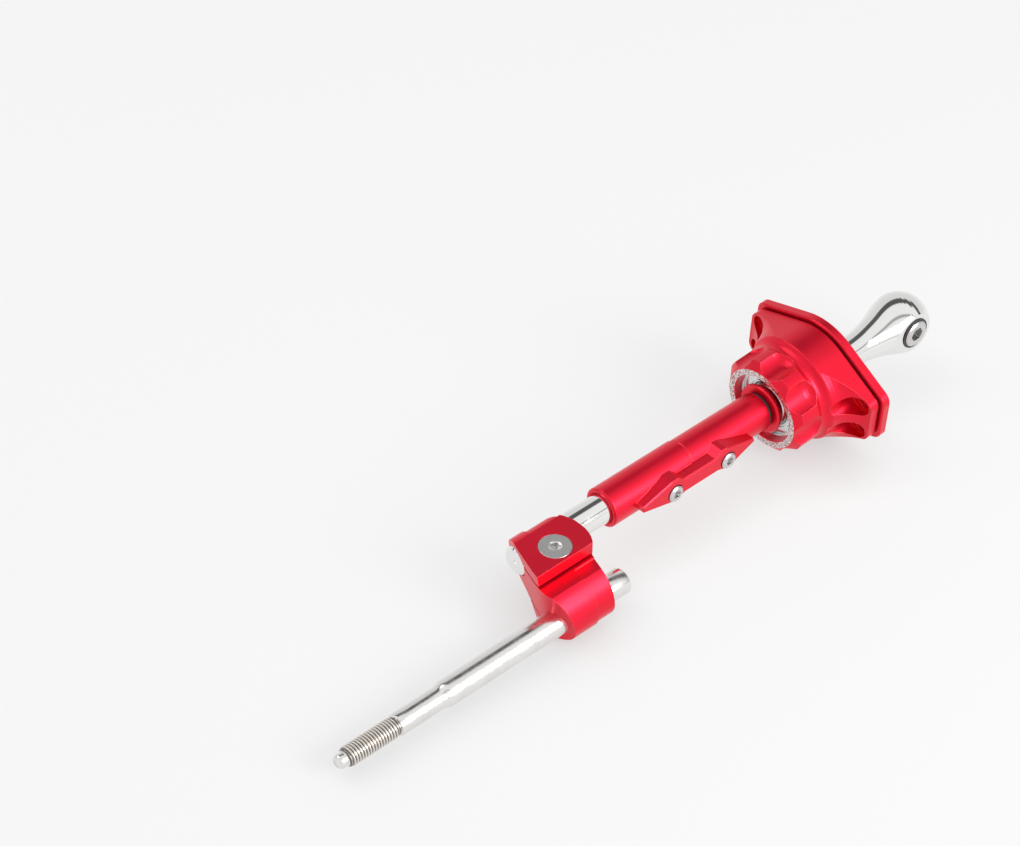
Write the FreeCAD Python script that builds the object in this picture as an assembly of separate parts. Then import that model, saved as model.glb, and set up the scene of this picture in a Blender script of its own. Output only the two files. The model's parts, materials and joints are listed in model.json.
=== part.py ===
import FreeCAD, Part
import math
import os

# Short-throw gear shift lever.  Units are millimetres.
# Row frame: origin at the centre of the mounting face under the base plate, +Z up towards the
# knob thread, +X along the long side of the flange.  The lever leans in its bearing at rest.
# Lever pieces are drawn about an upright axis and then leaned about the pivot by LEAN.

Vec = FreeCAD.Vector
X_AXIS = Vec(1, 0, 0)
Y_AXIS = Vec(0, 1, 0)
Z_AXIS = Vec(0, 0, 1)

# ---- pivot and lean -------------------------------------------------------------------------
PIVOT_Z = 30.4
LEAN_DEG = 3.8          # lean of the lever towards +Y at rest
TWIST_DEG = 6.7         # turn of the lever about its own axis at rest
RUN_GAP = 0.03          # radial clearance of everything that turns or slides
SEAT_GAP = 0.02         # clearance of pieces that are held still

# ---- base plate, gasket and flange ----------------------------------------------------------
HALF_LENGTH = 42.3
APEX_Y = 33.3           # where the two straight flanks would meet if they were not rounded
FLANK_SLOPE = 0.484
APEX_RADIUS = 30.6
CORNER_RADIUS = 6.0
PLATE_TOP = 4.6
GASKET_TOP = 5.6
GASKET_INSET = 3.6
HOUSING_INSET = 2.3     # the housing's flange is smaller all round than the base plate
LAND_TOP = 10.6         # lowest height of the flange's upper face, at its ends
PLATE_HOLE_R = 17.5
BOLT_X = 33.2
BOLT_Y = 8.0
BOLT_HOLE_R = 3.3
POCKET_R = 5.2
POCKET_FLOOR = 7.8
POCKET_REACH = 2.4      # how far each pocket runs inwards from its bolt
PLATE_SCREW_X = 22.5
PLATE_SCREW_Y = 15.3
DOWEL_Y = 24.4

# ---- bearing housing ------------------------------------------------------------------------
NOSE_Z = 42.4
NOSE_R = 25.3
NOSE_FACE_R = 21.5
BEARING_BORE_R = 17.9
SHOULDER_Z = 22.4
SHOULDER_R = 15.9
RIM_R = 28.0
RIM_Z = 21.6
FLUTES = 8
FLUTE_R = 10.5
FLUTE_FLOOR_R = 21.6
FLUTE_END_Z = 25.6      # where the foot of each flute runs out
FLUTE_FOOT_R = 6.0
RACE_TOP = 37.6
CLIP_TOP = 38.9
CLIP_GROOVE_R = 18.9

# ---- spherical bearing ----------------------------------------------------------------------
BALL_R = 13.5
BALL_HALF = 8.5
LINER_R = 14.6
LINER_HALF = 6.5

# ---- lever: eye end, collar, tube -----------------------------------------------------------
SHANK_R = 7.32
SHANK_TOP = 45.4
STUD_R = 4.0
STUD_TOP = 54.0
EYE_Z = -51.7
EYE_R = 15.2
EYE_HALF = 11.0
EYE_BORE_R = 8.0
PIN_R = 6.85
PIN_HEX = 6.6
PIN_THREAD_R = 3.3
COLLAR_R = 12.6
TUBE_TOP = 147.0
TUBE_R_LOW = 9.6
TUBE_R_HIGH = 10.0
TUBE_STEP_Z = 97.5
TUBE_FLOOR_Z = 57.0
SHAFT_R = 7.37

# ---- lug with its two lock screws -----------------------------------------------------------
LUG_X = 14.5
LOCK_Z = (79.0, 113.1)
LOCK_Y = -1.6
LOCK_HEAD_R = 4.25
LOCK_HEAD_X = 11.4
LOCK_HEAD_H = 4.2
LOCK_SHANK_R = 2.5
LOCK_HEX = 4.0

# ---- shaft, clamp and knob rod --------------------------------------------------------------
SHAFT_BOTTOM = 78.0
SHAFT_TOP = 200.0
CLAMP_FAR_Z = 168.7
CLAMP_BOSS_FAR_Z = 175.0
CLAMP_NEAR_TILT = 0.15  # fall of the near face per millimetre away from the cap
CLAMP_TOP_Y = 10.2
CLAMP_FRONT_X = 21.6
CLAMP_SLIT_TOP = 3.9
CLAMP_SLIT_BOTTOM = 2.5
CLAMP_STEP_Z = 185.5    # below this height the boss is stepped in
LOBE_R = 9.9
ROD_X = 29.7
ROD_Y = -14.6
BOSS_R = 10.4
ROD_R = 6.35
ROD_BOTTOM = 160.5
ROD_TAPER_Z = 268.0
NECK_Z = 273.0
NECK_R = 5.35
THREAD_R = 5.0
THREAD_PITCH = 1.5
THREAD_DEPTH = 0.75
THREAD_START = 298.0
THREAD_END = 326.0
CAP_SCREW_X = 12.1
CAP_SCREW_Z = 186.9
CAP_HEAD_R = 7.8
JAW_SCREW_X = 18.3
JAW_SCREW_Z = 186.0


# ---- helpers --------------------------------------------------------------------------------
def cylinder(radius, z0, z1, x=0.0, y=0.0):
    return Part.makeCylinder(radius, z1 - z0, Vec(x, y, z0), Z_AXIS)


def tube(outer, inner, z0, z1, x=0.0, y=0.0):
    return cylinder(outer, z0, z1, x, y).cut(cylinder(inner, z0 - 1, z1 + 1, x, y))


def box(x0, x1, y0, y1, z0, z1):
    return Part.makeBox(x1 - x0, y1 - y0, z1 - z0, Vec(x0, y0, z0))


def revolve(profile):
    """Turn a closed list of (radius, z) points about the Z axis."""
    points = [Vec(r, 0, z) for r, z in profile]
    face = Part.Face(Part.makePolygon(points + points[:1]))
    return face.revolve(Vec(0, 0, 0), Z_AXIS, 360)


def arc_points(p0, p1, p2, steps=14):
    """Points of the circular arc from p0 through p1 to p2, in (radius, z)."""
    arc = Part.Arc(Vec(p0[0], p0[1], 0), Vec(p1[0], p1[1], 0), Vec(p2[0], p2[1], 0))
    return [(p.x, p.y) for p in arc.toShape().discretize(steps)]


def line_to(a, b):
    return Part.makeLine(Vec(a[0], a[1], 0), Vec(b[0], b[1], 0))


def arc_to(a, middle, b):
    return Part.Arc(Vec(a[0], a[1], 0), Vec(middle[0], middle[1], 0), Vec(b[0], b[1], 0)).toShape()


def curve_through(points):
    curve = Part.BSplineCurve()
    curve.interpolate([Vec(x, y, 0) for x, y in points])
    return curve.toShape()


def prism_xy(points, z0, z1):
    corners = [Vec(x, y, z0) for x, y in points]
    return Part.Face(Part.makePolygon(corners + corners[:1])).extrude(Vec(0, 0, z1 - z0))


def prism_xz(points, y0, y1):
    corners = [Vec(x, y0, z) for x, z in points]
    return Part.Face(Part.makePolygon(corners + corners[:1])).extrude(Vec(0, y1 - y0, 0))


def prism_yz(points, x0, x1):
    corners = [Vec(x0, y, z) for y, z in points]
    return Part.Face(Part.makePolygon(corners + corners[:1])).extrude(Vec(x1 - x0, 0, 0))


def along_x(shape, x, y, z):
    """Lay a shape drawn along +Z so that it points along +X, starting at the given point."""
    placed = shape.copy()
    placed.Placement = FreeCAD.Placement(Vec(x, y, z), FreeCAD.Rotation(Y_AXIS, 90))
    return placed


def along_y(shape, x, y, z, up=True):
    """Lay a shape drawn along +Z so that it points along +Y or -Y."""
    placed = shape.copy()
    turn = -90 if up else 90
    placed.Placement = FreeCAD.Placement(Vec(x, y, z), FreeCAD.Rotation(X_AXIS, turn))
    return placed


def hexagon(flats, z0, z1):
    radius = flats / math.sqrt(3)
    corners = [(radius * math.cos(math.radians(60 * k)), radius * math.sin(math.radians(60 * k)))
               for k in range(6)]
    return prism_xy(corners, z0, z1)


def lean(shape):
    """Tilt a lever piece about the pivot into its rest position."""
    turn = FreeCAD.Rotation(X_AXIS, -LEAN_DEG) * FreeCAD.Rotation(Z_AXIS, TWIST_DEG)
    leaned = shape.copy()
    centre = Vec(0, 0, PIVOT_Z)
    to_origin = FreeCAD.Placement(-centre, FreeCAD.Rotation())
    about_pivot = FreeCAD.Placement(centre, turn).multiply(to_origin)
    leaned.Placement = about_pivot.multiply(leaned.Placement)
    return leaned


def save(shape, node):
    shape.exportStep("parts/" + node + ".step")


def group(shapes):
    return Part.makeCompound(shapes)


# ---- base plate, gasket, flange outline -----------------------------------------------------
def upright_edges(prism, away):
    """Upright edges of a prism that lie at this distance from the YZ plane."""
    found = []
    for edge in prism.Edges:
        a = edge.Vertexes[0].Point
        b = edge.Vertexes[-1].Point
        upright = abs(a.x - b.x) + abs(a.y - b.y) < 0.001
        if upright and abs(abs(a.x) - away) < 0.01:
            found.append(edge)
    return found


def outline_prism(inset, z0, z1):
    """Flange outline: straight flanks with a rounded apex and rounded end corners."""
    half = HALF_LENGTH - inset
    drop = inset * math.hypot(1, FLANK_SLOPE)
    apex = APEX_Y - drop
    end_y = apex - FLANK_SLOPE * half
    corners = [(half, -end_y), (half, end_y), (0, apex), (-half, end_y), (-half, -end_y), (0, -apex)]
    prism = prism_xy(corners, z0, z1)
    prism = prism.makeFillet(APEX_RADIUS - inset, upright_edges(prism, 0))
    return prism.makeFillet(CORNER_RADIUS - 0.5 * inset, upright_edges(prism, half))


def rim_edges(shape, z):
    """Edges of a shape that lie wholly in the plane at height z."""
    flat = []
    for edge in shape.Edges:
        span = edge.BoundBox
        if abs(span.ZMin - z) < 0.001 and abs(span.ZMax - z) < 0.001:
            flat.append(edge)
    return flat


bolt_points = [(sx * BOLT_X, sy * BOLT_Y) for sx in (-1, 1) for sy in (-1, 1)]
screw_points = [(PLATE_SCREW_X, PLATE_SCREW_Y), (-PLATE_SCREW_X, -PLATE_SCREW_Y)]
dowel_points = [(0, DOWEL_Y), (0, -DOWEL_Y)]
PLATE_SCREW_R = 2.0
PLATE_SCREW_HEAD_R = 4.0
PLATE_SCREW_TIP = 14.0
DOWEL_R = 1.5
DOWEL_BOTTOM = 1.6
DOWEL_TOP = 12.0


def drill(shape, points, radius, z0, z1):
    for x, y in points:
        shape = shape.cut(cylinder(radius, z0, z1, x, y))
    return shape


def make_base_plate():
    plate = outline_prism(0, 0, PLATE_TOP)
    plate = plate.makeChamfer(0.6, rim_edges(plate, 0) + rim_edges(plate, PLATE_TOP))
    plate = plate.cut(cylinder(PLATE_HOLE_R, -1, PLATE_TOP + 1))
    plate = drill(plate, bolt_points, BOLT_HOLE_R, -1, PLATE_TOP + 1)
    plate = drill(plate, screw_points, PLATE_SCREW_R + 0.1, -1, PLATE_TOP + 1)
    plate = drill(plate, dowel_points, DOWEL_R + SEAT_GAP, DOWEL_BOTTOM - 0.1, PLATE_TOP + 1)
    for x, y in screw_points:
        sink = Part.makeCone(PLATE_SCREW_HEAD_R + 0.15, PLATE_SCREW_R + 0.05, 2.1, Vec(x, y, -0.01), Z_AXIS)
        plate = plate.cut(sink)
    return plate


def make_gasket():
    gasket = outline_prism(GASKET_INSET, PLATE_TOP, GASKET_TOP)
    gasket = gasket.cut(cylinder(PLATE_HOLE_R + 0.5, PLATE_TOP - 1, GASKET_TOP + 1))
    gasket = drill(gasket, bolt_points, BOLT_HOLE_R + 0.2, PLATE_TOP - 1, GASKET_TOP + 1)
    gasket = drill(gasket, screw_points, PLATE_SCREW_R + 0.2, PLATE_TOP - 1, GASKET_TOP + 1)
    return drill(gasket, dowel_points, DOWEL_R + 0.1, PLATE_TOP - 1, GASKET_TOP + 1)


def make_plate_screws():
    screws = []
    for x, y in screw_points:
        head = Part.makeCone(PLATE_SCREW_HEAD_R, PLATE_SCREW_R, 2.0, Vec(x, y, 0.1), Z_AXIS)
        screw = head.fuse(cylinder(PLATE_SCREW_R, 0.1, PLATE_SCREW_TIP, x, y))
        socket = hexagon(2.5, 0, 1.4)
        socket.translate(Vec(x, y, 0))
        screws.append(screw.cut(socket))
    return group(screws)


def make_dowels():
    return group([cylinder(DOWEL_R, DOWEL_BOTTOM, DOWEL_TOP, x, y) for x, y in dowel_points])


# ---- housing --------------------------------------------------------------------------------
def make_flute(degrees):
    """Tool for one flute: an upright rod with a rounded foot, sunk into the side of the nose."""
    angle = math.radians(degrees)
    reach = FLUTE_FLOOR_R + FLUTE_R
    foot = arc_points((FLUTE_R, FLUTE_END_Z + FLUTE_FOOT_R),
                      (FLUTE_R - 0.2929 * FLUTE_FOOT_R, FLUTE_END_Z + 0.2929 * FLUTE_FOOT_R),
                      (FLUTE_R - FLUTE_FOOT_R, FLUTE_END_Z), 8)
    tool = revolve([(0, NOSE_Z + 1), (FLUTE_R, NOSE_Z + 1)] + foot + [(0, FLUTE_END_Z)])
    tool.translate(Vec(reach * math.cos(angle), reach * math.sin(angle), 0))
    return tool


def make_pocket(x, y):
    """Tool for one bolt pocket: round about the bolt and running on towards the middle."""
    inner = x - math.copysign(POCKET_REACH, x)
    tool = cylinder(POCKET_R, POCKET_FLOOR, NOSE_Z, x, y).fuse(cylinder(POCKET_R, POCKET_FLOOR, NOSE_Z, inner, y))
    return tool.fuse(box(min(x, inner), max(x, inner), y - POCKET_R, y + POCKET_R, POCKET_FLOOR, NOSE_Z))


def make_housing():
    flare = arc_points((45.0, LAND_TOP), (33.0, 13.2), (RIM_R, RIM_Z - 1.0))
    rim = arc_points((RIM_R, RIM_Z - 1.0), (RIM_R - 0.35, RIM_Z + 0.6), (RIM_R - 1.4, RIM_Z + 1.5), 6)
    valley = arc_points((RIM_R - 1.4, RIM_Z + 1.5), (24.7, RIM_Z + 3.6), (NOSE_R, RIM_Z + 7.4), 10)
    profile = [(0, GASKET_TOP), (60.0, GASKET_TOP), (60.0, LAND_TOP)] + flare + rim[1:] + valley[1:]
    profile += [(NOSE_R, NOSE_Z - 3.2), (NOSE_FACE_R, NOSE_Z), (0, NOSE_Z)]
    body = revolve(profile).common(outline_prism(HOUSING_INSET, GASKET_TOP, NOSE_Z + 1))
    for k in range(FLUTES):
        body = body.cut(make_flute(k * 360.0 / FLUTES))
    for x, y in bolt_points:
        body = body.cut(make_pocket(x, y))
    body = drill(body, bolt_points, BOLT_HOLE_R, 0, NOSE_Z)
    body = drill(body, screw_points, PLATE_SCREW_R + 0.05, 0, PLATE_SCREW_TIP + 0.5)
    body = drill(body, dowel_points, DOWEL_R + SEAT_GAP, 0, DOWEL_TOP + 0.3)
    cavity = [(0, 0), (20.5, 0), (20.5, GASKET_TOP + 0.6), (17.5, 16.0), (SHOULDER_R, 19.0)]
    cavity += [(SHOULDER_R, SHOULDER_Z), (BEARING_BORE_R, SHOULDER_Z), (BEARING_BORE_R, RACE_TOP + 0.06)]
    cavity += [(CLIP_GROOVE_R, RACE_TOP + 0.06), (CLIP_GROOVE_R, CLIP_TOP + 0.1)]
    cavity += [(BEARING_BORE_R, CLIP_TOP + 0.1), (BEARING_BORE_R, NOSE_Z - 0.4)]
    cavity += [(BEARING_BORE_R + 0.5, NOSE_Z + 0.1), (0, NOSE_Z + 0.1)]
    return body.cut(revolve(cavity))


def make_outer_race():
    ring = revolve([(0, SHOULDER_Z + SEAT_GAP), (BEARING_BORE_R - SEAT_GAP - 0.6, SHOULDER_Z + SEAT_GAP),
                    (BEARING_BORE_R - SEAT_GAP, SHOULDER_Z + 0.62), (BEARING_BORE_R - SEAT_GAP, RACE_TOP - 0.6),
                    (BEARING_BORE_R - SEAT_GAP - 0.6, RACE_TOP), (0, RACE_TOP)])
    return ring.cut(Part.makeSphere(LINER_R + RUN_GAP, Vec(0, 0, PIVOT_Z)))


def make_retaining_ring():
    z0 = RACE_TOP + 0.1
    ring = tube(CLIP_GROOVE_R - 0.1, 16.4, z0, CLIP_TOP)
    mouth = prism_xy([(0, 0), (30, -5.5), (30, 5.5)], z0 - 1, CLIP_TOP + 1)
    ring = ring.cut(mouth)
    for side in (-1, 1):
        angle = math.radians(14.0 * side)
        x = 16.3 * math.cos(angle)
        y = 16.3 * math.sin(angle)
        lug = cylinder(1.9, z0, CLIP_TOP, x, y)
        ring = ring.fuse(lug).cut(cylinder(0.8, z0 - 1, CLIP_TOP + 1, x, y))
    return ring


def make_liner():
    centre = Vec(0, 0, PIVOT_Z)
    shell = Part.makeSphere(LINER_R, centre).cut(Part.makeSphere(BALL_R + RUN_GAP, centre))
    return shell.common(cylinder(30, PIVOT_Z - LINER_HALF, PIVOT_Z + LINER_HALF))


# ---- lever pieces ---------------------------------------------------------------------------
def make_ball():
    centre = Vec(0, 0, PIVOT_Z)
    ball = Part.makeSphere(BALL_R, centre).common(cylinder(30, PIVOT_Z - BALL_HALF, PIVOT_Z + BALL_HALF))
    return ball.cut(cylinder(SHANK_R + SEAT_GAP, 0, 60))


def make_lower_clip():
    z1 = PIVOT_Z - BALL_HALF - 0.05
    ring = tube(9.6, 6.9, z1 - 1.1, z1)
    return ring.cut(box(0, 12, -2.6, 2.6, z1 - 2, z1 + 1))


def make_collar():
    z0 = PIVOT_Z + BALL_HALF + 0.02
    profile = [(0, z0), (8.5, z0), (COLLAR_R - 0.2, z0 + 3.1), (COLLAR_R, z0 + 3.4), (COLLAR_R, z0 + 4.4)]
    profile += [(COLLAR_R - 0.7, z0 + 5.1), (0, z0 + 5.1)]
    return revolve(profile).cut(cylinder(SHANK_R + SEAT_GAP, 0, 60))


def make_seal_ring():
    centre_z = PIVOT_Z + BALL_HALF + 5.1 + 0.68
    ring = Part.makeTorus(8.02, 0.66, Vec(0, 0, centre_z), Z_AXIS)
    return ring


def make_eye_lever():
    ball_low = arc_points((EYE_R, EYE_Z), (EYE_R * 0.7071, EYE_Z - EYE_R * 0.7071), (0.0, EYE_Z - EYE_R), 16)
    flare = [(7.35, -4.0), (7.4, -12.0), (7.7, -19.0), (8.4, -26.0), (9.6, -32.0), (11.2, -37.5), (13.0, -42.4)]
    flare += [(14.4, -46.6), (15.0, -49.4)]
    profile = [(0, SHANK_TOP), (SHANK_R - 0.5, SHANK_TOP), (SHANK_R, SHANK_TOP - 0.5), (SHANK_R, -1.0)]
    curve = Part.BSplineCurve()
    curve.interpolate([Vec(r, 0, z) for r, z in [(SHANK_R, -1.0)] + flare + [(EYE_R, EYE_Z)]])
    smooth = [(p.x, p.z) for p in curve.toShape().discretize(40)]
    body = revolve(profile + smooth[1:] + ball_low[1:])
    stud = cylinder(STUD_R - 0.05, SHANK_TOP - 1, STUD_TOP)
    body = body.fuse(stud)
    for side in (-1, 1):
        x0 = EYE_HALF if side > 0 else -30
        x1 = 30 if side > 0 else -EYE_HALF
        body = body.cut(box(x0, x1, -30, 30, EYE_Z - 30, EYE_Z + 30))
    body = body.cut(along_x(cylinder(EYE_BORE_R, -30, 30), 0, 0, EYE_Z))
    z1 = PIVOT_Z - BALL_HALF - 0.05
    groove = tube(12, 6.8, z1 - 1.2, z1 + 0.05)
    return body.cut(groove)


def make_eye_bush():
    sleeve = tube(EYE_BORE_R - SEAT_GAP, PIN_R + RUN_GAP, -EYE_HALF - 0.5, EYE_HALF + 0.5)
    return along_x(sleeve, 0, 0, EYE_Z)


def make_cross_pin():
    half = EYE_HALF + 1.6
    pin = revolve([(0, -half), (PIN_R - 0.7, -half), (PIN_R, -half + 0.7), (PIN_R, half - 0.7),
                   (PIN_R - 0.7, half), (0, half)])
    pin = pin.cut(hexagon(PIN_HEX, half - 6.5, half + 1))
    pin = pin.cut(cylinder(PIN_THREAD_R, -half - 1, half - 9.0))
    for z in (-half + 1.25, half - 2.0):
        pin = pin.cut(tube(PIN_R + 1, PIN_R - 0.35, z, z + 0.5))
    return along_x(pin, 0, 0, EYE_Z)


def make_grip_tube():
    step = [(TUBE_R_LOW, TUBE_STEP_Z - 1.1), (TUBE_R_LOW - 0.25, TUBE_STEP_Z - 0.8)]
    step += [(TUBE_R_LOW - 0.25, TUBE_STEP_Z - 0.2), (TUBE_R_HIGH, TUBE_STEP_Z + 0.1)]
    bottom = SHANK_TOP + 0.05
    profile = [(0, bottom), (TUBE_R_LOW - 0.9, bottom), (TUBE_R_LOW, bottom + 0.9)] + step
    profile += [(TUBE_R_HIGH, TUBE_TOP - 0.8), (TUBE_R_HIGH - 0.8, TUBE_TOP), (0, TUBE_TOP)]
    body = revolve(profile)
    lug = [(-1.6, 133.2), (2.0, 133.8), (6.8, 115.6), (6.8, 111.2), (4.2, 107.6), (4.2, 87.6),
           (6.8, 83.4), (6.8, 80.2), (2.0, 62.2), (0.0, 61.6), (-4.2, 72.6), (-6.0, 77.4),
           (-6.0, 80.6), (-4.4, 85.4), (-4.4, 106.8), (-6.0, 111.4), (-6.0, 115.6)]
    plate = prism_yz(lug, 5.0, LUG_X)
    plate = plate.makeChamfer(0.5, [e for e in plate.Edges if abs(e.BoundBox.XMin - LUG_X) < 0.001])
    body = body.fuse(plate).removeSplitter()
    body = body.cut(cylinder(SHAFT_R + RUN_GAP, TUBE_FLOOR_Z, TUBE_TOP + 1))
    body = body.cut(Part.makeCone(SHAFT_R + RUN_GAP, SHAFT_R + 0.9, 0.9, Vec(0, 0, TUBE_TOP - 0.85), Z_AXIS))
    body = body.cut(cylinder(STUD_R, 40, TUBE_FLOOR_Z + 1))
    for z in LOCK_Z:
        body = body.cut(along_x(cylinder(LOCK_SHANK_R + 0.1, 0, 20), 3.0, LOCK_Y, z))
        body = body.cut(along_x(cylinder(LOCK_HEAD_R + 0.45, 0, 20), LOCK_HEAD_X, LOCK_Y, z))
    return body


def make_lock_screws():
    screws = []
    for z in LOCK_Z:
        head = revolve([(0, 0), (LOCK_HEAD_R, 0), (LOCK_HEAD_R, LOCK_HEAD_H - 0.7),
                        (LOCK_HEAD_R - 0.7, LOCK_HEAD_H), (0, LOCK_HEAD_H)])
        shank = cylinder(LOCK_SHANK_R, -2.75, 0.5)
        screw = head.fuse(shank).cut(hexagon(LOCK_HEX, LOCK_HEAD_H - 2.4, LOCK_HEAD_H + 1))
        screws.append(along_x(screw, LOCK_HEAD_X + SEAT_GAP, LOCK_Y, z))
    return group(screws)


def make_lock_pads():
    pads = []
    for z in LOCK_Z:
        pad = along_x(cylinder(LOCK_SHANK_R - 0.1, 0, 4.0), 4.6, LOCK_Y, z)
        pads.append(pad.cut(cylinder(SHAFT_R + RUN_GAP + 0.02, z - 10, z + 10)))
    return group(pads)


def make_shaft():
    profile = [(0, SHAFT_BOTTOM), (SHAFT_R - 1.2, SHAFT_BOTTOM), (SHAFT_R, SHAFT_BOTTOM + 1.2)]
    profile += [(SHAFT_R, SHAFT_TOP - 1.2), (SHAFT_R - 1.2, SHAFT_TOP), (0, SHAFT_TOP)]
    return revolve(profile).cut(Part.makeCone(0.2, 1.0, 1.4, Vec(0, 0, SHAFT_TOP - 1.3), Z_AXIS))


# ---- clamp ----------------------------------------------------------------------------------
def clamp_outline():
    """Cross-section of the clamp: cap, front bevel, plateau, boss, lower jaw and shaft lobe."""
    boss_right = (ROD_X + BOSS_R, ROD_Y)
    boss_low = (ROD_X, ROD_Y - BOSS_R)
    slant = math.sqrt(0.5) * BOSS_R
    cap_left = (-1.6, CLAMP_TOP_Y)
    front_top = (CLAMP_FRONT_X, CLAMP_TOP_Y)
    front_low = (CLAMP_FRONT_X, CLAMP_SLIT_BOTTOM)
    plateau_end = (30.0, 2.1)
    lobe_low = (-0.5 * LOBE_R, -0.866 * LOBE_R)
    jaw_low = (15.2, boss_low[1])
    return [
        line_to(cap_left, front_top),
        line_to(front_top, front_low),
        line_to(front_low, plateau_end),
        arc_to(plateau_end, (36.6, -4.0), boss_right),
        arc_to(boss_right, (ROD_X + slant, ROD_Y - slant), boss_low),
        line_to(boss_low, jaw_low),
        curve_through([jaw_low, (12.4, -21.2), (10.2, -17.2), (5.8, -13.3), (0.8, -10.8), lobe_low]),
        arc_to(lobe_low, (-LOBE_R, 0), cap_left),
    ]


def prism_from(edges, z0, z1):
    face = Part.Face(Part.Wire(edges))
    face.translate(Vec(0, 0, z0))
    return face.extrude(Vec(0, 0, z1 - z0))


def laid_in_xz(edges, y):
    """Face whose edges are drawn as (x, z) pairs, laid in the plane at this y."""
    face = Part.Face(Part.Wire(Part.__sortEdges__(edges)))
    face.rotate(Vec(0, 0, 0), X_AXIS, 90)
    face.translate(Vec(0, y, 0))
    return face


def clamp_far_end():
    """Block with the rounded far end of the cap and the flat far end of the boss."""
    far = CLAMP_FAR_Z
    top = far + 60.0
    edges = [
        arc_to((-12.0, 180.0), (-3.4, far + 3.6), (5.5, far)),
        line_to((5.5, far), (10.0, far)),
        arc_to((10.0, far), (16.5, far + 1.1), (CLAMP_FRONT_X, far + 4.0)),
        line_to((CLAMP_FRONT_X, far + 4.0), (30.0, CLAMP_BOSS_FAR_Z)),
        line_to((30.0, CLAMP_BOSS_FAR_Z), (46.0, CLAMP_BOSS_FAR_Z)),
        line_to((46.0, CLAMP_BOSS_FAR_Z), (46.0, top)),
        line_to((46.0, top), (-12.0, top)),
        line_to((-12.0, top), (-12.0, 180.0)),
    ]
    return laid_in_xz(edges, 40).extrude(Vec(0, -90, 0))


def clamp_near_cut():
    """Tool that leaves the curved near face, which falls away from the cap towards the boss."""
    near = [(-14.0, 194.6), (-7.0, 197.4), (-1.0, 199.8), (8.4, 202.9), (15.8, 205.2), (21.6, 206.7), (26.0, 207.1),
            (30.0, 206.4), (34.0, 205.0), (39.0, 203.8), (46.0, 203.4)]
    top = 240.0
    edges = [
        curve_through(near),
        line_to(near[-1], (46.0, top)),
        line_to((46.0, top), (-14.0, top)),
        line_to((-14.0, top), near[0]),
    ]
    reach = 60.0
    ahead = 10.0
    face = laid_in_xz(edges, CLAMP_TOP_Y + ahead)
    face.translate(Vec(0, 0, CLAMP_NEAR_TILT * ahead))
    return face.extrude(Vec(0, -reach, -CLAMP_NEAR_TILT * reach))


def make_clamp():
    outline = clamp_outline()
    body = prism_from(outline, CLAMP_FAR_Z - 2, CLAMP_FAR_Z + 50).common(clamp_far_end())
    body = body.cut(clamp_near_cut())
    stepped = Part.Wire(outline).makeOffset2D(-0.65)
    sleeve = prism_from(outline, 100, CLAMP_STEP_Z).cut(prism_from(stepped.Edges, 99, CLAMP_STEP_Z + 1))
    body = body.cut(sleeve.common(box(CLAMP_FRONT_X + 1.8, 60, -60, CLAMP_TOP_Y, 100, CLAMP_STEP_Z)))
    lobe_step = tube(30, LOBE_R - 0.75, 100, 189.5)
    body = body.cut(lobe_step.common(box(-30, -1.6, -0.866 * LOBE_R, 40, 100, 189.5)))
    body = body.cut(cylinder(SHAFT_R + RUN_GAP, 100, 300))
    body = body.cut(cylinder(ROD_R + RUN_GAP, 100, 300, ROD_X, ROD_Y))
    body = body.cut(box(5.5, 60, CLAMP_SLIT_BOTTOM, CLAMP_SLIT_TOP, 100, 300))
    slit = prism_xy([(9.0, -15.6), (9.8, -16.8), (26.4, -20.6), (26.4, -19.4)], 100, 300)
    body = body.cut(slit)
    sink_r = CAP_HEAD_R + 0.15
    sink = Part.makeCone(sink_r, 4.15, sink_r - 4.15, Vec(0, 0, 0.35), Z_AXIS).fuse(cylinder(sink_r, -5, 0.35))
    body = body.cut(along_y(sink, CAP_SCREW_X, CLAMP_TOP_Y, CAP_SCREW_Z, False))
    body = body.cut(along_y(cylinder(4.15, 0, 21.2), CAP_SCREW_X, CLAMP_TOP_Y, CAP_SCREW_Z, False))
    body = body.cut(along_y(cylinder(3.1, 0, 17.5), JAW_SCREW_X, -30, JAW_SCREW_Z))
    return body.cut(along_y(cylinder(5.2, 0, 7.4), JAW_SCREW_X, -30, JAW_SCREW_Z))


def make_cap_screw():
    screw = revolve([(0, 0), (CAP_HEAD_R - 0.15, 0), (CAP_HEAD_R, 0.2), (CAP_HEAD_R, 0.3),
                     (4.05, CAP_HEAD_R - 3.75), (4.05, 19.6), (3.2, 20.6), (0, 20.6)])
    screw = screw.cut(hexagon(5.0, -1, 3.2))
    screw = screw.cut(Part.makeCone(3.3, 2.5, 0.5, Vec(0, 0, -0.01), Z_AXIS))
    return along_y(screw, CAP_SCREW_X, CLAMP_TOP_Y, CAP_SCREW_Z, False)


def make_jaw_screw():
    head = revolve([(0, 0), (4.4, 0), (5.0, 0.6), (5.0, 4.9), (3.0, 4.9), (3.0, 14.4), (0, 14.4)])
    screw = head.cut(hexagon(5.0, -1, 2.8))
    return along_y(screw, JAW_SCREW_X, -27.55, JAW_SCREW_Z)


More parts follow.
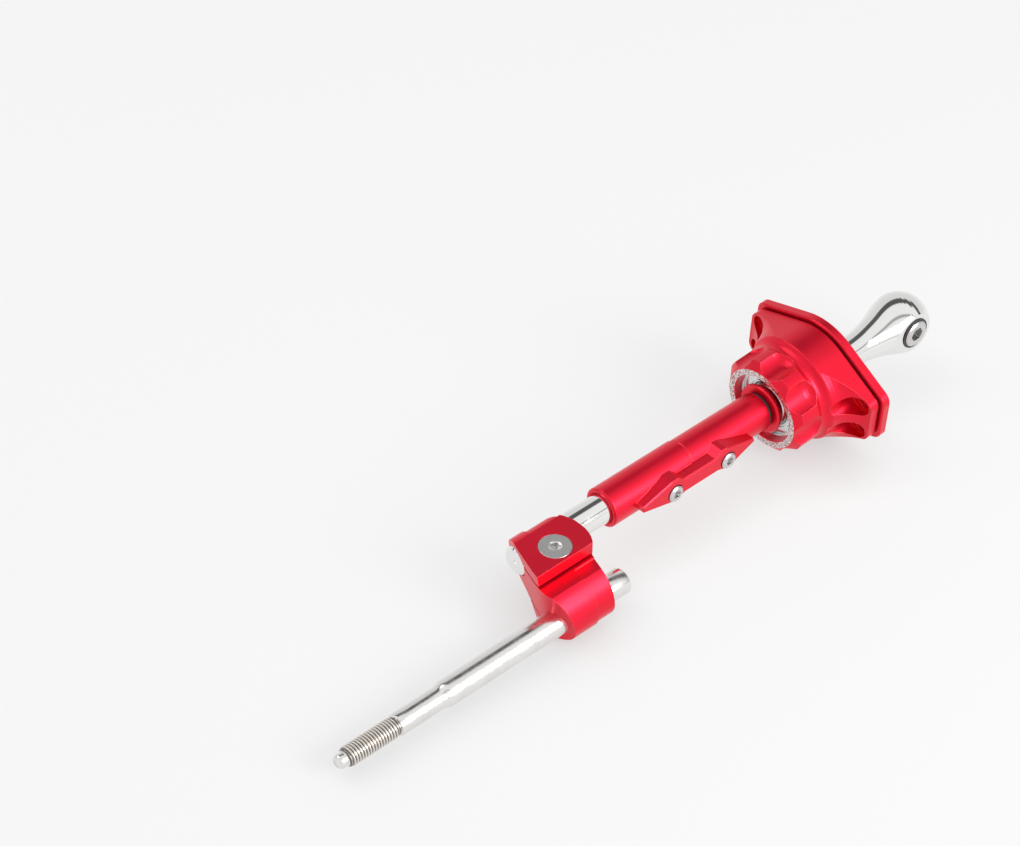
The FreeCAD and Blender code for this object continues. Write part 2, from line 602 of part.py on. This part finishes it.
# ---- knob rod -------------------------------------------------------------------------------
def make_knob_rod():
    profile = [(0, ROD_BOTTOM), (ROD_R - 1.2, ROD_BOTTOM), (ROD_R, ROD_BOTTOM + 1.2)]
    profile += [(ROD_R, ROD_TAPER_Z), (NECK_R, NECK_Z)]
    profile += [(NECK_R, THREAD_START - 1.0), (THREAD_R - THREAD_DEPTH, THREAD_START - 0.6)]
    z = THREAD_START
    while z < THREAD_END - 0.01:
        profile += [(THREAD_R - THREAD_DEPTH, z), (THREAD_R, z + 0.55), (THREAD_R, z + 0.8)]
        profile += [(THREAD_R - THREAD_DEPTH, z + 1.35)]
        z += THREAD_PITCH
    profile += [(4.0, THREAD_END + 0.3), (3.4, THREAD_END + 0.8), (3.4, THREAD_END + 3.6)]
    profile += [(2.7, THREAD_END + 4.6), (0, THREAD_END + 4.6)]
    rod = revolve(profile)
    rod.translate(Vec(ROD_X, ROD_Y, 0))
    return rod


# ---- write the nodes ------------------------------------------------------------------------
os.makedirs("parts", exist_ok=True)

still_nodes = {
    "base_plate": make_base_plate,
    "gasket": make_gasket,
    "plate_screws": make_plate_screws,
    "plate_dowels": make_dowels,
    "housing": make_housing,
    "outer_race": make_outer_race,
    "retaining_ring": make_retaining_ring,
    "liner": make_liner,
}
lever_nodes = {
    "ball": make_ball,
    "lower_clip": make_lower_clip,
    "collar": make_collar,
    "seal_ring": make_seal_ring,
    "eye_lever": make_eye_lever,
    "eye_bush": make_eye_bush,
    "cross_pin": make_cross_pin,
    "grip_tube": make_grip_tube,
    "lock_screws": make_lock_screws,
    "lock_pads": make_lock_pads,
    "shaft": make_shaft,
    "clamp": make_clamp,
    "cap_screw": make_cap_screw,
    "jaw_screw": make_jaw_screw,
    "knob_rod": make_knob_rod,
}
for node, make in still_nodes.items():
    save(make(), node)
for node, make in lever_nodes.items():
    save(lean(make()), node)
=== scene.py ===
import bpy
import json
import math
from mathutils import Matrix, Vector


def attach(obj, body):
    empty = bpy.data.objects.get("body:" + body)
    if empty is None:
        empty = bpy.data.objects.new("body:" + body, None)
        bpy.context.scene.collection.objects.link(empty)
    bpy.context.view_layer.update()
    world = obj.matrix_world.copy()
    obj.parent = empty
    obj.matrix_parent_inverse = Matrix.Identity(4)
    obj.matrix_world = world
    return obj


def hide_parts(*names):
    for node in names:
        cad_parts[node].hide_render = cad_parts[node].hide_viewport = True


# Looks of the gear shift lever.  Everything is in metres, in the frame of the CAD model.
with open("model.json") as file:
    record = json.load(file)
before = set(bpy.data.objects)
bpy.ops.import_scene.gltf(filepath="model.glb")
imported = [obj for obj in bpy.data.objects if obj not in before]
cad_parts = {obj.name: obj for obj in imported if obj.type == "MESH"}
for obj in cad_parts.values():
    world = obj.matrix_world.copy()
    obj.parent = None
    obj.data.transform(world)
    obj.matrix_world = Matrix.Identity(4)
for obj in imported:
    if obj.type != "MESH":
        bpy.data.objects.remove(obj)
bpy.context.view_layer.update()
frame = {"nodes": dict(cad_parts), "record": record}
scene = bpy.context.scene
nodes = frame["nodes"]
record = frame["record"]

# ---- axes taken from the record ---------------------------------------------------------------
mounts = {mount["name"]: mount for mount in record["mounts"]}
LEVER_AXIS = Vector(mounts["knob_thread"]["axis"]).normalized()
ROD_POINT = Vector(mounts["knob_thread"]["pos_m"])
PIVOT = Vector(record["behaviour"]["joints"][0]["pos_m"])
UP = Vector((0.0, 0.0, 1.0))

# ---- camera and table -------------------------------------------------------------------------
CAMERA_PLACE = Vector((0.7175, 1.2742, 0.9140))
CAMERA_FORWARD = Vector((-0.46690, -0.75558, -0.45945))
CAMERA_UP = Vector((-0.57866, 0.65393, -0.48737))
CAMERA_LENS = 127.06
SENSOR_WIDTH = 36.0
CAMERA_REACH = 20.0
TABLE_UP = Vector((-0.11663, 0.98904, -0.09059)).normalized()
FLOOR_SIZE = 3.0
FLOOR_GAP = 0.0002
BACKDROP_WHITE = 0.90
FLOOR_WHITE = 0.885
FLOOR_GLOW = 0.89
FLOOR_PAINTED_SHADOW = 0.30          # painted shadow: share of the glow's brightness lost where the object touches the floor
FLOOR_PAINTED_SHADOW_REACH = 0.034   # distance over which that painted shadow fades
FLOOR_GLOW_SHARE = 0.80     # the rest of the floor's brightness comes from the lamps
FLOOR_PAINTED_SHADOW_SAMPLES = 16

table_away = (CAMERA_FORWARD - TABLE_UP * CAMERA_FORWARD.dot(TABLE_UP)).normalized()
table_right = table_away.cross(TABLE_UP).normalized()


def lowest_height():
    """Height of the object's lowest vertex along the table's upward direction."""
    lowest = 1.0
    for obj in nodes.values():
        for vertex in obj.data.vertices:
            lowest = min(lowest, vertex.co.dot(TABLE_UP))
    return lowest


table_point = TABLE_UP * (lowest_height() - FLOOR_GAP)


def grey(value):
    return (value, value, value, 1.0)


def aim(place, forward, up):
    """Matrix that puts a camera or lamp at a place, looking forward."""
    z = -forward.normalized()
    x = up.cross(z).normalized()
    y = z.cross(x)
    turned = Matrix((x, y, z)).transposed().to_4x4()
    turned.translation = place
    return turned


def make_camera():
    data = bpy.data.cameras.new("camera")
    data.lens = CAMERA_LENS
    data.sensor_width = SENSOR_WIDTH
    data.clip_end = CAMERA_REACH
    camera = bpy.data.objects.new("camera", data)
    camera.matrix_world = aim(CAMERA_PLACE, CAMERA_FORWARD, CAMERA_UP)
    scene.collection.objects.link(camera)
    scene.camera = camera


# ---- material building blocks -----------------------------------------------------------------
BEVEL_SAMPLES = 6
EDGE_GAIN = 9.0
NOISE_LOW = 0.3     # noise seldom leaves the band between these two values
NOISE_HIGH = 0.7


class Nodes:
    """A node tree with short names for what the materials below share."""

    def __init__(self, name):
        self.material = bpy.data.materials.new(name)
        self.material.use_nodes = True
        self.tree = self.material.node_tree
        self.tree.nodes.clear()
        self.out = self.tree.nodes.new("ShaderNodeOutputMaterial")
        self.place = self.add("ShaderNodeTexCoord").outputs["Object"]

    def add(self, kind, **settings):
        node = self.tree.nodes.new(kind)
        for key, value in settings.items():
            setattr(node, key, value)
        return node

    def link(self, source, target):
        self.tree.links.new(source, target)

    def feed(self, target, value):
        """Give an input either a link or a plain value."""
        if hasattr(value, "links"):
            self.link(value, target)
        elif isinstance(value, tuple) and len(value) == 3 and target.type == "RGBA":
            target.default_value = (*value, 1.0)
        else:
            target.default_value = value

    def math(self, operation, a, b=0.0, clamp=False):
        node = self.add("ShaderNodeMath", operation=operation, use_clamp=clamp)
        self.feed(node.inputs[0], a)
        self.feed(node.inputs[1], b)
        return node.outputs[0]

    def vector(self, operation, a, b=None, output="Vector"):
        node = self.add("ShaderNodeVectorMath", operation=operation)
        self.feed(node.inputs[0], a)
        if b is not None:
            self.feed(node.inputs[1], b)
        return node.outputs[output]

    def noise(self, scale, detail=2.0, where=None, rough=0.5):
        tex = self.add("ShaderNodeTexNoise")
        tex.inputs["Scale"].default_value = scale
        tex.inputs["Detail"].default_value = detail
        tex.inputs["Roughness"].default_value = rough
        self.link(where or self.place, tex.inputs["Vector"])
        return tex.outputs["Fac"]

    def span(self, value, low, high, from_low=0.0, from_high=1.0):
        node = self.add("ShaderNodeMapRange")
        self.link(value, node.inputs["Value"])
        node.inputs["From Min"].default_value = from_low
        node.inputs["From Max"].default_value = from_high
        node.inputs["To Min"].default_value = low
        node.inputs["To Max"].default_value = high
        return node.outputs["Result"]

    def blend(self, factor, a, b):
        node = self.add("ShaderNodeMix", data_type="RGBA")
        self.feed(node.inputs["Factor"], factor)
        self.feed(node.inputs["A"], a)
        self.feed(node.inputs["B"], b)
        return node.outputs["Result"]

    def around(self, point, axis):
        """Radial and axial place about an axis, as the lathe that turned the piece would see it."""
        rel = self.vector("SUBTRACT", self.place, tuple(point))
        axial = self.vector("DOT_PRODUCT", rel, tuple(axis), "Value")
        radial = self.vector("LENGTH", self.vector("CROSS_PRODUCT", rel, tuple(axis)), None, "Value")
        return radial, axial

    def turned(self, point, axis):
        radial, axial = self.around(point, axis)
        join = self.add("ShaderNodeCombineXYZ")
        self.link(radial, join.inputs[0])
        self.link(axial, join.inputs[1])
        return join.outputs[0]

    def bump(self, height, strength, distance, base=None):
        node = self.add("ShaderNodeBump")
        node.inputs["Strength"].default_value = strength
        node.inputs["Distance"].default_value = distance
        self.link(height, node.inputs["Height"])
        if base:
            self.link(base, node.inputs["Normal"])
        return node.outputs["Normal"]

    def soft_normal(self, radius):
        """Normal that runs round sharp edges as if they had this radius."""
        bevel = self.add("ShaderNodeBevel", samples=BEVEL_SAMPLES)
        bevel.inputs["Radius"].default_value = radius
        return bevel.outputs["Normal"]

    def soft_edges(self, radius):
        """Rounded-edge normal, and a mask that is high along edges, used for worn edges and for painted
        edge highlights.
        """
        normal = self.soft_normal(radius)
        flat = self.add("ShaderNodeNewGeometry").outputs["Normal"]
        turn = self.vector("DOT_PRODUCT", normal, flat, "Value")
        edge = self.math("MULTIPLY", self.math("SUBTRACT", 1.0, turn), EDGE_GAIN, True)
        return normal, edge

    def surface(self, color, roughness, normal, metallic=1.0, coat=0.0, coat_rough=0.3):
        shader = self.add("ShaderNodeBsdfPrincipled")
        self.feed(shader.inputs["Base Color"], color)
        self.feed(shader.inputs["Roughness"], roughness)
        self.feed(shader.inputs["Metallic"], metallic)
        self.feed(shader.inputs["Coat Weight"], coat)
        self.feed(shader.inputs["Coat Roughness"], coat_rough)
        self.link(normal, shader.inputs["Normal"])
        self.link(shader.outputs["BSDF"], self.out.inputs["Surface"])
        return self.material


# ---- measures of the knob rod's thread --------------------------------------------------------
MM = 0.001
THREAD_PITCH = 1.5 * MM
THREAD_CREST = 5.0 * MM
THREAD_ROOT = 4.25 * MM
THREAD_LENGTH = 28.0 * MM


# ---- materials --------------------------------------------------------------------------------
ANODISED = (0.80, 0.003, 0.030)
ANODISED_DEEP = (0.68, 0.002, 0.022)
ANODISED_METAL = 0.80
# pale red for the edges: partly worn anodising, partly a painted highlight
ANODISED_WORN_EDGE_AND_HIGHLIGHT = (0.92, 0.16, 0.17)
RING_INNER = 0.0183
RING_OUTER = 0.0214
RING_HEIGHT = 0.0421
RING_BARE = (0.86, 0.82, 0.81)
RING_STAINED = (0.30, 0.06, 0.07)
RING_METAL = 0.95
BRIGHT = (0.82, 0.81, 0.79)
BRIGHT_DEEP = (0.74, 0.73, 0.71)
BRIGHT_ROUGH = (0.15, 0.26)
# painted shade in the thread: dark colour in its roots, pale on its crests
THREAD_ROOT_PAINTED_SHADE = (0.17, 0.15, 0.13)
THREAD_PALE = (0.80, 0.76, 0.71)
LATHE_LINES = 6500.0
LATHE_STREAKS = 260.0
SMEARS = 90.0


def red_anodised(name, point, axis, marked_ring=False):
    """Satin red over blasted and turned metal, paler on its edges as wear and as a painted highlight; the
    housing has a bare ring.
    """
    n = Nodes(name)
    lathe = n.turned(point, axis)
    lines = n.noise(5200.0, 2.0, lathe)
    blast = n.noise(2600.0, 3.0)
    cloud = n.noise(45.0, 3.0)
    normal, edge = n.soft_edges(0.00035)
    # worn edges and painted highlight: edges lightened towards pale red, broken up by noise
    wear_and_highlight = n.math("MULTIPLY", edge, n.span(n.noise(700.0, 4.0), 0.15, 0.75))
    color = n.blend(n.span(cloud, 0.0, 0.55, NOISE_LOW, NOISE_HIGH), ANODISED, ANODISED_DEEP)
    color = n.blend(wear_and_highlight, color, ANODISED_WORN_EDGE_AND_HIGHLIGHT)
    rough = n.span(lines, 0.30, 0.40, NOISE_LOW, NOISE_HIGH)
    metallic = ANODISED_METAL
    if marked_ring:
        radial, axial = n.around(point, axis)
        beyond = n.math("GREATER_THAN", radial, RING_INNER)
        inside = n.math("MULTIPLY", beyond, n.math("LESS_THAN", radial, RING_OUTER))
        ring = n.math("MULTIPLY", inside, n.math("GREATER_THAN", axial, RING_HEIGHT))
        speckle = n.span(n.noise(1500.0, 3.0, None, 0.7), 0.0, 1.0, 0.42, 0.55)
        bare = n.blend(speckle, RING_STAINED, RING_BARE)
        color = n.blend(ring, color, bare)
        metallic = n.span(ring, ANODISED_METAL, RING_METAL)
    normal = n.bump(lines, 0.10, 0.00004, normal)
    normal = n.bump(blast, 0.16, 0.00003, normal)
    return n.surface(color, rough, normal, metallic, 0.20, 0.28)


def turned_metal(name, color, deep, rough_low, rough_high, point, axis, lines=0.08, edge_radius=0.0002):
    """Bare metal with fine turning marks and faint clouding."""
    n = Nodes(name)
    lathe = n.turned(point, axis)
    grooves = n.noise(LATHE_LINES, 2.0, lathe)
    streaks = n.noise(LATHE_STREAKS, 3.0, lathe)
    smear = n.noise(SMEARS, 3.0)
    normal, edge = n.soft_edges(edge_radius)
    tone = n.blend(n.span(smear, 0.0, 0.8, 0.35, 0.65), color, deep)
    turned_rough = n.span(streaks, rough_low, rough_high, NOISE_LOW, NOISE_HIGH)
    rough = n.math("ADD", turned_rough, n.math("MULTIPLY", edge, 0.05))
    normal = n.bump(grooves, lines, 0.00003, normal)
    return n.surface(tone, rough, normal)


def rod_metal(name):
    """Turned bright steel whose cut thread is browner, with painted shade that darkens it from crest to
    root.
    """
    n = Nodes(name)
    radial, axial = n.around(ROD_POINT, LEVER_AXIS)
    lathe = n.turned(ROD_POINT, LEVER_AXIS)
    smear = n.noise(SMEARS, 3.0)
    streaks = n.noise(LATHE_STREAKS, 3.0, lathe)
    tone = n.blend(n.span(smear, 0.0, 0.8, 0.35, 0.65), BRIGHT, BRIGHT_DEEP)
    # painted shade: the thread's colour runs from pale at the crest to dark in the root
    depth = n.span(radial, 0.0, 1.0, THREAD_ROOT, THREAD_CREST - 0.15 * MM)
    cut = n.blend(depth, THREAD_ROOT_PAINTED_SHADE, THREAD_PALE)
    reach = THREAD_LENGTH / 2 + 0.4 * MM
    within = n.math("LESS_THAN", n.math("ABSOLUTE", axial), reach)
    tone = n.blend(within, tone, cut)
    rough = n.math("ADD", n.span(streaks, *BRIGHT_ROUGH, NOISE_LOW, NOISE_HIGH),
                   n.math("MULTIPLY", within, 0.18))
    normal = n.soft_normal(0.0001)
    return n.surface(tone, rough, n.bump(n.noise(LATHE_LINES, 2.0, lathe), 0.12, 0.00003, normal))


def polished_metal(name):
    """Mirror-bright plating with hairline rubbing marks."""
    n = Nodes(name)
    normal = n.soft_normal(0.0004)
    hair = n.noise(2400.0, 4.0, n.turned(PIVOT, LEVER_AXIS))
    cloud = n.noise(35.0, 3.0)
    tone = n.blend(n.span(cloud, 0.0, 0.6, NOISE_LOW, NOISE_HIGH), (0.86, 0.86, 0.85), (0.80, 0.80, 0.79))
    rough = n.span(n.noise(120.0, 4.0), 0.035, 0.10, NOISE_LOW, NOISE_HIGH)
    return n.surface(tone, rough, n.bump(hair, 0.03, 0.00002, normal))


def screw_metal(name):
    """Dull stainless heads, mottled by their coating."""
    n = Nodes(name)
    mottle = n.noise(1900.0, 4.0, None, 0.65)
    normal, edge = n.soft_edges(0.0002)
    tone = n.blend(n.span(mottle, 0.0, 1.0, 0.38, 0.62), (0.74, 0.73, 0.72), (0.52, 0.51, 0.51))
    tone = n.blend(n.math("MULTIPLY", edge, 0.5), tone, (0.86, 0.86, 0.86))
    rough = n.span(mottle, 0.24, 0.42, NOISE_LOW, NOISE_HIGH)
    return n.surface(tone, rough, n.bump(mottle, 0.22, 0.00005, normal))


def dull(name, color, pale, rough, grain):
    """Rubber and moulded polymer: fine grain, slightly paler where rubbed."""
    n = Nodes(name)
    fine = n.noise(grain, 3.0)
    normal, edge = n.soft_edges(0.0002)
    tone = n.blend(n.math("MULTIPLY", edge, n.span(n.noise(500.0), 0.2, 0.8)), color, pale)
    mottled = n.span(fine, rough - 0.08, rough + 0.08, NOISE_LOW, NOISE_HIGH)
    return n.surface(tone, mottled, n.bump(fine, 0.3, 0.00005, normal), 0.0)


MATERIALS = {
    "red_anodised": red_anodised("red_anodised", PIVOT, LEVER_AXIS),
    "polished_steel": polished_metal("polished_steel"),
    "bright_steel": turned_metal("bright_steel", BRIGHT, BRIGHT_DEEP, *BRIGHT_ROUGH,
                                 ROD_POINT, LEVER_AXIS, 0.14),
    "bearing_steel": turned_metal("bearing_steel", (0.78, 0.79, 0.80), (0.62, 0.63, 0.64), 0.10, 0.22,
                                  PIVOT, UP),
    "spring_steel": turned_metal("spring_steel", (0.30, 0.30, 0.31), (0.16, 0.16, 0.17), 0.28, 0.42,
                                 PIVOT, UP),
    "stainless": screw_metal("stainless"),
    "black_rubber": dull("black_rubber", (0.020, 0.018, 0.018), (0.07, 0.065, 0.065), 0.62, 1800.0),
    "brass": turned_metal("brass", (0.80, 0.62, 0.30), (0.66, 0.49, 0.22), 0.22, 0.34, PIVOT, LEVER_AXIS),
    "black_polymer": dull("black_polymer", (0.022, 0.020, 0.022), (0.10, 0.10, 0.10), 0.42, 2400.0),
}
HOUSING_MATERIAL = red_anodised("red_anodised_housing", PIVOT - UP * PIVOT.z, UP, True)
FLANGE_MATERIAL = red_anodised("red_anodised_flange", Vector((0, 0, 0)), UP)
slots = {row["node"]: row["material_slot"] for row in record["subparts"]}


def dress_cad_nodes():
    """Give each CAD node the material of its slot; the housing and plate have their own copies."""
    for name, obj in nodes.items():
        obj.data.materials.clear()
        obj.data.materials.append(MATERIALS[slots[name]])
    nodes["housing"].data.materials[0] = HOUSING_MATERIAL
    nodes["base_plate"].data.materials[0] = FLANGE_MATERIAL


# ---- knob rod with a real helical thread ------------------------------------------------------
FLANK_SHARE = 0.36      # of one pitch, taken by each flank
CREST_SHARE = 0.16      # of one pitch, taken by the flat crest
ROD_STEPS = 96          # points round the rod
TURN_STEPS = 14         # rings in one turn of the thread
PLAIN_RINGS = 12
TAPER_RINGS = 8
NECK_RINGS = 5
NECK_RADIUS = 5.35 * MM
TAPER_LOW = 30.0 * MM   # before the thread's start
TAPER_HIGH = 25.0 * MM
NECK_END = 1.4 * MM
SHARP_ANGLE = 40
# Rounded lower edge: (millimetres above the end, millimetres inside the rod's radius).
LOWER_EDGE = ((0.0, 1.2), (0.35, 0.85), (0.7, 0.5), (1.2, 0.08), (1.4, 0.0))
# Shoulder and pilot beyond the thread: (millimetres above the thread or below the tip, radius).
PILOT_FOOT = ((0.3, 4.0), (0.8, 3.45))
PILOT_TIP = ((1.3, 3.4), (0.9, 3.3), (0.3, 2.9), (0.0, 2.5))


def thread_radius(along, angle):
    """Radius of a trapezoid thread form, running out softly at both ends."""
    phase = (along / THREAD_PITCH - angle / (2 * math.pi)) % 1.0
    if phase < FLANK_SHARE:
        height = phase / FLANK_SHARE
    elif phase < FLANK_SHARE + CREST_SHARE:
        height = 1.0
    elif phase < 2 * FLANK_SHARE + CREST_SHARE:
        height = 1.0 - (phase - FLANK_SHARE - CREST_SHARE) / FLANK_SHARE
    else:
        height = 0.0
    run_out = min(1.0, along / THREAD_PITCH, (THREAD_LENGTH - along) / THREAD_PITCH)
    crest_radius = THREAD_ROOT + (THREAD_CREST - THREAD_ROOT) * max(0.0, run_out)
    return THREAD_ROOT + (crest_radius - THREAD_ROOT) * height


def rod_measures():
    """Lower end, upper end (along the rod from the middle of its thread) and largest radius."""
    rod_vertices = nodes["knob_rod"].data.vertices
    along = [(vertex.co - ROD_POINT).dot(LEVER_AXIS) for vertex in rod_vertices]
    radii = [(vertex.co - ROD_POINT).cross(LEVER_AXIS).length for vertex in rod_vertices]
    return min(along), max(along), max(radii)


def rod_stations(low, tip, rod_radius):
    """Rings of the rod as (distance along, radius); the thread's radius is None, as it varies."""
    start = -THREAD_LENGTH / 2
    end = THREAD_LENGTH / 2
    taper_low = start - TAPER_LOW
    taper_high = start - TAPER_HIGH
    rings = [(low + up * MM, rod_radius - cut * MM) for up, cut in LOWER_EDGE]
    edge_top = LOWER_EDGE[-1][0] * MM
    plain = taper_low - low - edge_top
    rings += [(low + edge_top + k * plain / PLAIN_RINGS, rod_radius) for k in range(1, PLAIN_RINGS + 1)]
    for k in range(1, TAPER_RINGS + 1):
        share = k / TAPER_RINGS
        ease = share * share * (3 - 2 * share)
        radius = rod_radius + (NECK_RADIUS - rod_radius) * ease
        rings.append((taper_low + (taper_high - taper_low) * share, radius))
    neck = start - NECK_END - taper_high
    rings += [(taper_high + k * neck / NECK_RINGS, NECK_RADIUS) for k in range(1, NECK_RINGS + 1)]
    rings += [(start - 0.9 * MM, NECK_RADIUS - 0.15 * MM), (start - 0.5 * MM, THREAD_ROOT + 0.1 * MM),
              (start, None)]
    turns = int(round(THREAD_LENGTH / THREAD_PITCH * TURN_STEPS))
    rings += [(start + THREAD_LENGTH * k / turns, None) for k in range(1, turns + 1)]
    rings += [(end + up * MM, radius * MM) for up, radius in PILOT_FOOT]
    rings += [(tip - down * MM, radius * MM) for down, radius in PILOT_TIP]
    return rings


def ring_points(along, radius):
    """Points of one ring round the rod."""
    side = LEVER_AXIS.orthogonal().normalized()
    other = LEVER_AXIS.cross(side)
    points = []
    for k in range(ROD_STEPS):
        angle = 2 * math.pi * k / ROD_STEPS
        r = radius if radius is not None else thread_radius(along + THREAD_LENGTH / 2, angle)
        outward = side * math.cos(angle) + other * math.sin(angle)
        points.append(tuple(ROD_POINT + LEVER_AXIS * along + outward * r))
    return points


def lathe_faces(rings, last):
    """Faces that join each ring to the next, and close both ends on a middle point."""
    faces = []
    top = 1 + (rings - 1) * ROD_STEPS
    for k in range(ROD_STEPS):
        after = (k + 1) % ROD_STEPS
        faces.append((0, 1 + after, 1 + k))
        faces.append((top + k, top + after, last))
        for row in range(rings - 1):
            base = 1 + row * ROD_STEPS
            faces.append((base + k, base + after, base + ROD_STEPS + after, base + ROD_STEPS + k))
    return faces


def make_threaded_rod():
    """The knob rod again, with its thread as a real helix."""
    low, tip, rod_radius = rod_measures()
    stations = rod_stations(low, tip, rod_radius)
    vertices = [tuple(ROD_POINT + LEVER_AXIS * low)]
    for along, radius in stations:
        vertices += ring_points(along, radius)
    vertices.append(tuple(ROD_POINT + LEVER_AXIS * tip))
    faces = lathe_faces(len(stations), len(vertices) - 1)
    mesh = bpy.data.meshes.new("threaded_rod")
    mesh.from_pydata(vertices, [], faces)
    mesh.polygons.foreach_set("use_smooth", [True] * len(faces))
    mesh.set_sharp_from_angle(angle=math.radians(SHARP_ANGLE))
    rod = bpy.data.objects.new("threaded_rod", mesh)
    scene.collection.objects.link(rod)
    rod.data.materials.append(rod_metal("bright_steel_threaded"))
    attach(rod, "rod")
    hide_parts("knob_rod")


# ---- floor, world and lights ------------------------------------------------------------------
def make_floor():
    """Plain pale floor: mostly even, with a painted shadow that dims its glow close to the object."""
    mesh = bpy.data.meshes.new("floor")
    corners = [table_point + table_right * (FLOOR_SIZE * a) + table_away * (FLOOR_SIZE * b)
               for a, b in ((-1, -1), (1, -1), (1, 1), (-1, 1))]
    mesh.from_pydata([tuple(c) for c in corners], [], [(0, 1, 2, 3)])
    floor = bpy.data.objects.new("floor", mesh)
    scene.collection.objects.link(floor)
    n = Nodes("floor")
    # painted shadow: ambient occlusion dims the floor's glow near the object
    near = n.add("ShaderNodeAmbientOcclusion", samples=FLOOR_PAINTED_SHADOW_SAMPLES)
    near.inputs["Distance"].default_value = FLOOR_PAINTED_SHADOW_REACH
    painted_shadow = n.span(near.outputs["AO"], 1.0 - FLOOR_PAINTED_SHADOW, 1.0)
    glow = n.add("ShaderNodeEmission")
    n.feed(glow.inputs["Color"], (FLOOR_GLOW, FLOOR_GLOW, FLOOR_GLOW))
    n.link(painted_shadow, glow.inputs["Strength"])
    diffuse = n.add("ShaderNodeBsdfDiffuse")
    n.feed(diffuse.inputs["Color"], (FLOOR_WHITE, FLOOR_WHITE, FLOOR_WHITE))
    mix = n.add("ShaderNodeMixShader")
    mix.inputs[0].default_value = FLOOR_GLOW_SHARE
    n.link(diffuse.outputs[0], mix.inputs[1])
    n.link(glow.outputs[0], mix.inputs[2])
    clear = n.add("ShaderNodeBsdfTransparent")
    side = n.add("ShaderNodeNewGeometry")
    both = n.add("ShaderNodeMixShader")
    n.link(side.outputs["Backfacing"], both.inputs[0])
    n.link(mix.outputs[0], both.inputs[1])
    n.link(clear.outputs[0], both.inputs[2])
    n.link(both.outputs[0], n.out.inputs["Surface"])
    mesh.materials.append(n.material)


# Brightness of the surrounding studio by angle over the table: 0 at the far horizon, 180 at the near one.
HALF_TURN = 180.0
WORLD_STOPS = ((0, 0.86), (22, 0.80), (41, 0.80), (46, 0.12), (64, 0.10), (69, 0.95),
               (103, 0.97), (108, 0.40), (112, 0.40), (117, 0.95), (150, 0.93), (180, 0.80))


def make_world():
    """Studio that lights the object and shows in it; the camera itself sees a plain pale backdrop."""
    world = bpy.data.worlds.new("world")
    scene.world = world
    world.use_nodes = True
    tree = world.node_tree
    tree.nodes.clear()
    coords = tree.nodes.new("ShaderNodeTexCoord")

    def part_along(direction):
        dot = tree.nodes.new("ShaderNodeVectorMath")
        dot.operation = "DOT_PRODUCT"
        dot.inputs[1].default_value = direction
        tree.links.new(coords.outputs["Generated"], dot.inputs[0])
        return dot.outputs["Value"]

    angle = tree.nodes.new("ShaderNodeMath")
    angle.operation = "ARCTAN2"
    tree.links.new(part_along(TABLE_UP), angle.inputs[0])
    tree.links.new(part_along(table_away), angle.inputs[1])
    share = tree.nodes.new("ShaderNodeMath")
    share.operation = "DIVIDE"
    share.inputs[1].default_value = math.pi
    tree.links.new(angle.outputs[0], share.inputs[0])
    ramp = tree.nodes.new("ShaderNodeValToRGB")
    tree.links.new(share.outputs[0], ramp.inputs["Fac"])
    elements = ramp.color_ramp.elements
    for degrees, value in WORLD_STOPS[1:-1]:
        elements.new(degrees / HALF_TURN).color = grey(value)
    elements[0].color = grey(WORLD_STOPS[0][1])
    elements[-1].color = grey(WORLD_STOPS[-1][1])
    seen = tree.nodes.new("ShaderNodeMix")
    seen.data_type = "RGBA"
    seen.inputs["B"].default_value = grey(BACKDROP_WHITE)
    path = tree.nodes.new("ShaderNodeLightPath")
    tree.links.new(path.outputs["Is Camera Ray"], seen.inputs["Factor"])
    tree.links.new(ramp.outputs["Color"], seen.inputs["A"])
    background = tree.nodes.new("ShaderNodeBackground")
    tree.links.new(seen.outputs["Result"], background.inputs["Color"])
    out = tree.nodes.new("ShaderNodeOutputWorld")
    tree.links.new(background.outputs[0], out.inputs["Surface"])


LIGHT_SIZE = 0.8
LIGHT_TARGET = 0.12     # metres along the lever from the housing's place on the table
KEY_POWER = 20.0
FILL_POWER = 4.0


def soft_light(name, right, away, up, power):
    """Square soft lamp, placed by metres to the right, away and up from the lever's middle."""
    data = bpy.data.lights.new(name, "AREA")
    data.shape = "SQUARE"
    data.size = LIGHT_SIZE
    data.energy = power
    lamp = bpy.data.objects.new(name, data)
    middle = table_point + LEVER_AXIS * LIGHT_TARGET
    place = middle + table_right * right + table_away * away + TABLE_UP * up
    lamp.matrix_world = aim(place, middle - place, TABLE_UP + table_away * 0.01)
    scene.collection.objects.link(lamp)


dress_cad_nodes()
make_threaded_rod()
make_camera()
make_floor()
make_world()
soft_light("key", 1.1, -0.7, 0.75, KEY_POWER)
soft_light("fill", -0.9, 0.2, 1.1, FILL_POWER)
scene.view_settings.view_transform = "Standard"
